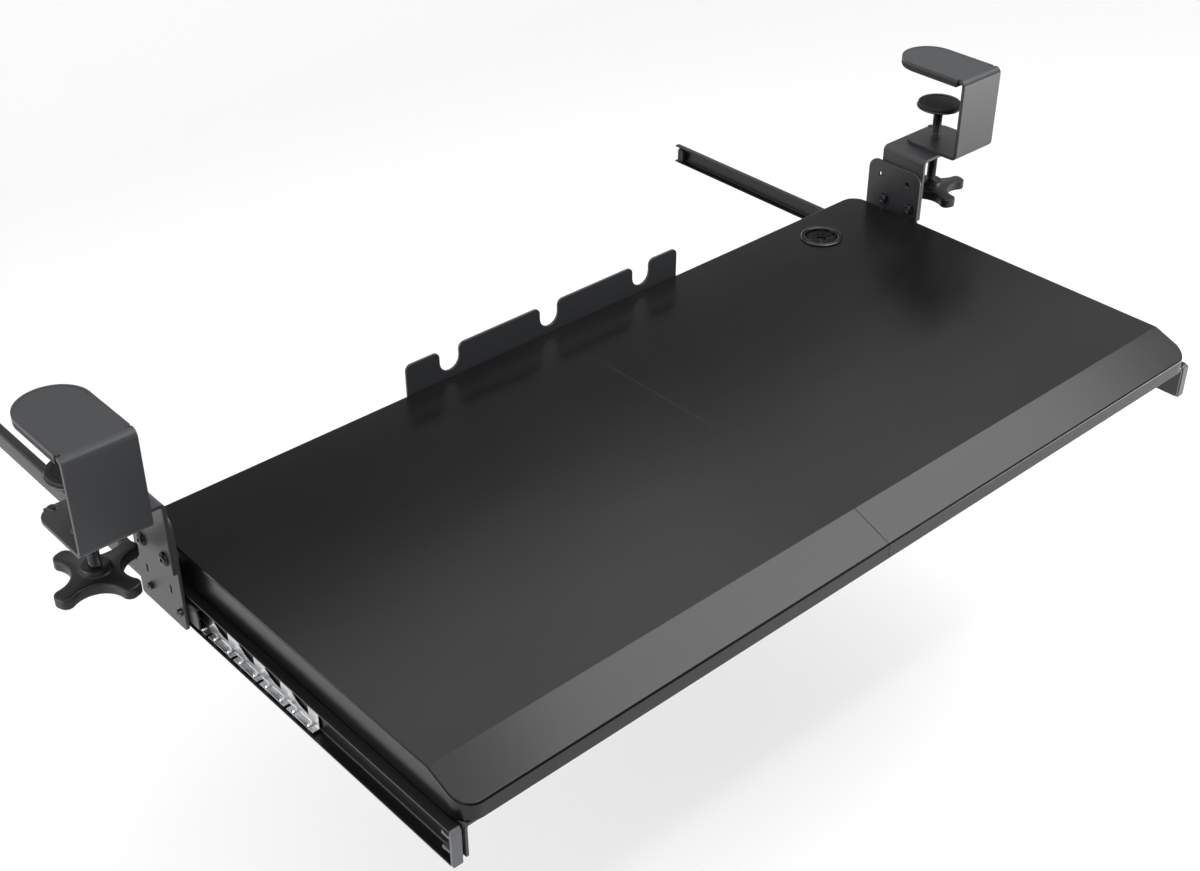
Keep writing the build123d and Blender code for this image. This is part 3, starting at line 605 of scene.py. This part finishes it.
# a solid's face at the seam lies within so many millimetres of the middle, and moves to a share of it
SEAM_REACH = 0.2
SEAM_SHARE = 0.1
EDGE_RADII = {
    "board": 0.4,
    "joining_dowels": 0.8,
    "joining_plate_front": 0.3,
    "joining_plate_rear": 0.3,
    "rear_cable_guard": 0.4,
    "grommet_insert": 0.2,
    "rail_angle": 0.3,
    "slide_channel": 0.3,
    "fixed_rail": 0.3,
    "rail_stop": 0.4,
    "ball_retainer": 0.1,
    "slide_cap": 0.35,
    "hanger_plate": 0.45,
    "clamp_bracket": 0.5,
    "clamp_body": 0.35,
    "jaw_pad": 0.6,
}


def round_edges():
    """Copies of the sheet-metal, board and moulded nodes, merged, with rounded edges.

    The two halves of the board stand 0.3 mm apart as solids. Here their faces at the seam move to a
    tenth of that, as when the plates pull them together.
    """
    for stem, radius in EDGE_RADII.items():
        names = [stem] if stem in nodes else [f"{stem}_{side}" for side in SIDES]
        for name in names:
            points, triangles = merged(name)
            if stem == "board":
                points[np.abs(points[:, 0]) < SEAM_REACH, 0] *= SEAM_SHARE
            make_piece(f"rounded_{name}", (points, triangles), name, radius)


# Fasteners


def hexagon(across, angle, corner=0.0):
    """Radius of a hexagon at an angle, from its width across flats and the angle of one corner."""
    return across / 2 / np.cos((angle - corner) % (np.pi / 3) - np.pi / 6)


def hexagon_nut(across, height, bore, corner=0.0, lead_in=0.4):
    """Nut round a bore. The radius is the hexagon's, or near the ends a 30 degree cone's where less."""
    angle = np.linspace(0, 2 * np.pi, 72, endpoint=False)
    flats = hexagon(across, angle, corner)
    cone = across / 2 * np.array([0.95, 1.0, 1.05, 1.1, 1.16])
    rise = (cone - cone[0]) * math.tan(math.radians(30))
    wall = [np.minimum(flats, radius) for radius in cone]
    inner = bore / 2
    radii = [inner, inner + lead_in, *wall, *wall[::-1], inner + lead_in, inner]
    heights = [lead_in, 0, *rise, *(height - rise)[::-1], height, height - lead_in]
    return skin(circles(radii, heights, angle), loop=True)


def cross_screw(length=16.2):
    """Pan-head wood screw with a cross recess, from its head upwards.

    Rows are circles whose angles crowd at the edges of four arms of one width: the half angle is the
    arcsine of half that width over the radius. Points inside the arms sink by the row's depth, and
    inside the arms' meeting point every point does.
    """
    half_arm, widest, arm_wall, meeting = 0.5, 0.66, 0.05, 0.75
    rows = np.array([
        (0.4, 0.0, 1.6), (0.9, 0.0, 1.5), (1.5, 0.04, 1.2), (2.1, 0.1, 0.6), (2.35, 0.14, 0.0),
        (3.0, 0.3, 0), (3.5, 0.6, 0), (3.85, 1.1, 0), (4.0, 1.7, 0), (4.0, 2.1, 0), (3.9, 2.2, 0),
        (1.75, 2.2, 0), (1.75, length - 3, 0), (0.6, length - 0.6, 0)])
    radius, height, depth = rows.T[..., None]
    half = np.arcsin(np.minimum(half_arm / radius, widest))
    middle = np.zeros_like(half)
    quarter = np.hstack([-half - arm_wall, -half, middle, half, half + arm_wall, middle + np.pi / 4])
    angle = np.hstack([quarter + turn * np.pi / 2 for turn in range(4)])
    sunk = np.where(radius < meeting, 1, np.tile([0, 1, 1, 1, 0, 0], 4))
    height = height + depth * sunk
    points = np.stack([radius * np.cos(angle), radius * np.sin(angle), height], -1)
    return skin(points, [0, 0, 1.7], [0, 0, length])


def socket_bolt(length=11.1):
    """Button-head bolt from its head upwards: rows go from a hexagon socket over an oval dome.

    The dome is a quarter turn: its radius grows with the sine, and its height with one less the cosine.
    """
    head, flat_end, dome_height, head_height, shank = 5.0, 2.4, 2.2, 2.6, 2.5
    angle = np.linspace(0, 2 * np.pi, 48, endpoint=False)
    socket = hexagon(3.0, angle)
    swell = np.radians(np.linspace(0, 90, 8))
    dome = flat_end + (head - flat_end) * np.sin(swell)
    radii = [socket, socket, socket + 0.15, *dome, head, shank, shank, 2.1]
    heights = [1.5, 0.15, 0, *(dome_height * (1 - np.cos(swell))), head_height, head_height,
               length - 0.5, length]
    return skin(circles(radii, heights, angle), [0, 0, 1.7], [0, 0, length])


def rail_rivet():
    """Rivet from its dimpled outer end to the low head inside the rail."""
    return turned([(0, 0.45), (0.8, 0.4), (1.3, 0.1), (1.6, 0), *arc(2.0, 0.6, 0.6, -90, 0), (2.6, 3),
                   (2, 3), (2, 6.7), (3.5, 6.7), *arc(2.9, 7.3, 0.6, 0, 90), (0, 7.9)], 32)


def bracket_rivet(length=8.4):
    """Rivet with a domed head at both ends."""
    dome = [(1.2, 0.04), (2.2, 0.25), (3.0, 0.65), (3.4, 1.0), (3.5, 1.2), (2, 1.2)]
    upper = [(radius, length - height) for radius, height in dome[::-1]]
    return turned([(0, 0), *dome, *upper, (0, length)], 32)


def channel_rivet():
    """Rivet from its low head inside the angle to the flattened end inside the channel."""
    return turned([(0, 0), (1.8, 0.05), (2.9, 0.3), (3.4, 0.8), (3.5, 1.2), (2, 1.2), (2, 4.4), (3.5, 4.4),
                   (3.45, 4.65), (3.2, 4.8), (1.0, 4.8), (0.8, 4.6), (0, 4.6)], 32)


def ball(radius=1.8):
    """Ball of a slide, as a half circle turned about Z."""
    return turned([(0, 0), *arc(0, radius, radius, -75, 75, 11), (0, 2 * radius)], 20)


def dress_fasteners():
    """Screws, bolts, nuts, rivets and balls in place of the plain bars of the nodes."""
    screw = cross_screw()
    make_piece("cross_screws_joining", set_at("joining_screws", screw, "+Z"), "joining_screws")
    make_piece("cross_screws_guard", set_at("guard_screws", screw, "-Y"), "guard_screws")
    for side, inwards, outwards in zip(SIDES, ("+X", "-X"), ("-X", "+X")):
        made = {
            "rail_angle_screws": ("cross_screws_angle", screw, "+Z"),
            "hanger_bolts": ("button_bolts", socket_bolt(), inwards),
            "hanger_nuts": ("chamfered_nuts",
                            hexagon_nut(across=8.0, height=3.0, bore=5.1, corner=np.pi / 6), outwards),
            "rail_rivets": ("rail_studs", rail_rivet(), inwards),
            "bracket_rivets": ("domed_rivets", bracket_rivet(), "+Z"),
            "channel_rivets": ("low_rivets", channel_rivet(), outwards),
            "slide_balls": ("steel_balls", ball(), "+Z"),
            "weld_nut": ("welded_nut", hexagon_nut(across=13.0, height=6.5, bore=8.2), "+Z"),
        }
        for stem, (name, shape, aim) in made.items():
            node = f"{stem}_{side}"
            make_piece(f"{name}_{side}", set_at(node, shape, aim), node)


# Grommet, knobs and clamp screws


def dress_grommet():
    """Glossy ring of the grommet: a rounded rim, a sleeve through the board and a ledge inside it."""
    sleeve, bore, ledge, foot, rim_height = 14.98, 13.7, 12.3, -16, 1.9
    low, high = corners("grommet_ring")
    centre = [*((low + high) / 2)[:2], high[2] - rim_height]
    profile = [(sleeve, foot), (sleeve, 0), (17.3, 0), (17.5, 0.2), *arc(16.1, 0.5, 1.4, 0, 90, 9),
               *arc(14.75, 0.9, 1.0, 90, 180, 7), (bore, -3.2), (ledge, -3.2), (ledge, -5.2), (bore, -5.2),
               (bore, foot)]
    make_piece("grommet_rim", repeated(turned(profile, 96, True), [centre]), "grommet_ring")


def star_loop(inset, steps=14):
    """Outline of the four-armed knob, moved inwards by an inset.

    Each arm ends in an arc about the middle, two corner arcs join it to the hollows,
    and each hollow is an arc about a point between two arms. An inset takes from the
    end's and the corners' radii and adds to the hollow's, so the outlines stay parallel.
    """
    arm, hollow, waist, corner = 33.1, 17.0, 15.5, 5.2
    far = waist + hollow
    inner, outer = arm - corner, hollow + corner
    between = np.pi / 4 - math.acos((inner ** 2 + far ** 2 - outer ** 2) / (2 * inner * far))
    corner_centre = inner * np.array([math.cos(between), math.sin(between)])
    hollow_centre = far * np.array([math.cos(np.pi / 4), math.sin(np.pi / 4)])
    away = hollow_centre - corner_centre
    toward = math.atan2(away[1], away[0])
    tip = np.linspace(-between, between, 5)
    turn = np.linspace(between, toward, steps)[1:]
    sweep = np.linspace(toward + np.pi, 3 * np.pi / 2 - toward, 2 * steps)[1:-1]
    tip_points = (arm - inset) * np.stack([np.cos(tip), np.sin(tip)], -1)
    corner_points = corner_centre + (corner - inset) * np.stack([np.cos(turn), np.sin(turn)], -1)
    hollow_points = hollow_centre + (hollow + inset) * np.stack([np.cos(sweep), np.sin(sweep)], -1)
    quarter = np.vstack([tip_points, corner_points, hollow_points, corner_points[::-1, ::-1]])
    quarters = [quarter]
    for _ in range(3):
        quarters.append(quarters[-1] @ np.array([[0, 1], [-1, 0]]))
    return np.concatenate(quarters)


def star_knob(sign, turn_degrees=71.5):
    """Four-armed knob. Rows go from its underside up over a rounded rim, onto the hub and into its bore."""
    rows = [np.column_stack([star_loop(inset), np.full(len(star_loop(0)), height)]) for inset, height in (
        (3.2, 0.0), (1.0, 0.0), (0.45, 0.12), (0.12, 0.45), (0.0, 1.0), (0.0, 6.5),
        (0.11, 7.07), (0.44, 7.56), (0.93, 7.89), (1.5, 8.0), (2.4, 8.05))]
    angle = np.arctan2(rows[-1][:, 1], rows[-1][:, 0])
    hub = circles(*zip((11.0, 8.3), (9.9, 8.9), (9.5, 9.8), (9.4, 11.9), (9.1, 12.6), (8.5, 12.9),
                       (7.8, 13.0), (4.6, 13.0), (4.15, 12.7), (4.15, 9.0)), angle)
    points = np.concatenate([np.stack(rows), hub])
    turn = math.radians(turn_degrees)
    spin = np.array([[math.cos(turn), math.sin(turn), 0], [-math.sin(turn), math.cos(turn), 0], [0, 0, 1]])
    return skin(points @ spin * np.array([sign, 1, 1]), [0, 0, 0], [0, 0, 9.0])


def threaded_bar(bottom, top, radius, pitch, depth, lead_in, sides=40):
    """Bar with a thread, whose crest climbs one pitch per turn.

    Radius at (angle, height) is the bar's radius less the depth times a triangle wave, cut flat at
    crest and root, of height / pitch - angle / full turn. The wave fades out at both ends.
    """
    rows_per_turn, flank = 8, 1.25
    angle = np.linspace(0, 2 * np.pi, sides, endpoint=False)
    height = np.linspace(bottom, top, int((top - bottom) / pitch * rows_per_turn))[:, None]
    phase = height / pitch - angle / (2 * np.pi)
    wave = np.clip(np.abs(phase % 1.0 * 2 - 1) * flank - (flank - 1) / 2, 0, 1)
    fade = np.clip(np.minimum(height - bottom, top - height) / lead_in, 0, 1)
    points = circles(radius - depth * (fade * wave + 1 - fade), height, angle)
    return skin(points, [0, 0, bottom], [0, 0, top])


def clamp_screw(low, high, tip_length=4.0, pitch=1.25):
    """M8 bar with a thread and a plain tip, which starts inside the bar."""
    shoulder = high - tip_length
    bar = threaded_bar(low, shoulder, radius=3.96, pitch=pitch, depth=0.62, lead_in=0.9)
    start = shoulder - 1
    tip = turned([(0, start), (2.9, start), (2.96, high - 0.4), (2.6, high), (0, high)], 32)
    return joined(bar, tip)


def pressure_dish():
    """Steel plate with a cup below it that turns on the screw's tip, by height from the cup's foot."""
    return turned([(0, 3.9), (3.1, 3.9), (3.1, 0.2), (3.3, 0), (6.2, 0), (6.45, 0.3), (6.45, 3.4), (7.1, 4),
                   (17.6, 4), *arc(18.0, 5, 0.98, -80, 80), (17.6, 6), (0, 6)], 72)


def rubber_foot():
    """Rubber disc with a rounded rim and one shallow groove near it."""
    return turned([(0, 0), (17.9, 0), (17.95, 0.1), (17.95, 1.6), *arc(17.1, 1.65, 0.85, 5, 85),
                   (14.0, 2.5), (13.6, 2.1), (12.6, 2.1), (12.2, 2.5), (0, 2.5)], 72)


def dress_clamp_screws():
    """Knob, threaded bar, pressure plate and pad of each clamp."""
    for side, sign in zip(SIDES, (-1, 1)):
        low, high = corners(f"clamp_screw_{side}")
        axis = ((low + high) / 2)[:2]
        screw = repeated(clamp_screw(low[2], high[2]), [[*axis, 0]])
        make_piece(f"threaded_screw_{side}", screw, f"clamp_screw_{side}")
        made = {
            "knob": ("star_knob", star_knob(sign)),
            "pressure_plate": ("pressure_dish", pressure_dish()),
            "pressure_pad": ("rubber_foot", rubber_foot()),
        }
        for stem, (name, shape) in made.items():
            node = f"{stem}_{side}"
            make_piece(f"{name}_{side}", repeated(shape, [[*axis, corners(node)[0][2]]]), node)


place_camera()
light_world()
lay_sweep()
light_studio()
round_edges()
dress_fasteners()
dress_grommet()
dress_clamp_screws()

bpy.context.scene.view_settings.view_transform = "Standard"
boxes = {"cad": cad_box, "visual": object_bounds()}
boxes = {name: [[float(value) for value in corner] for corner in box] for name, box in boxes.items()}
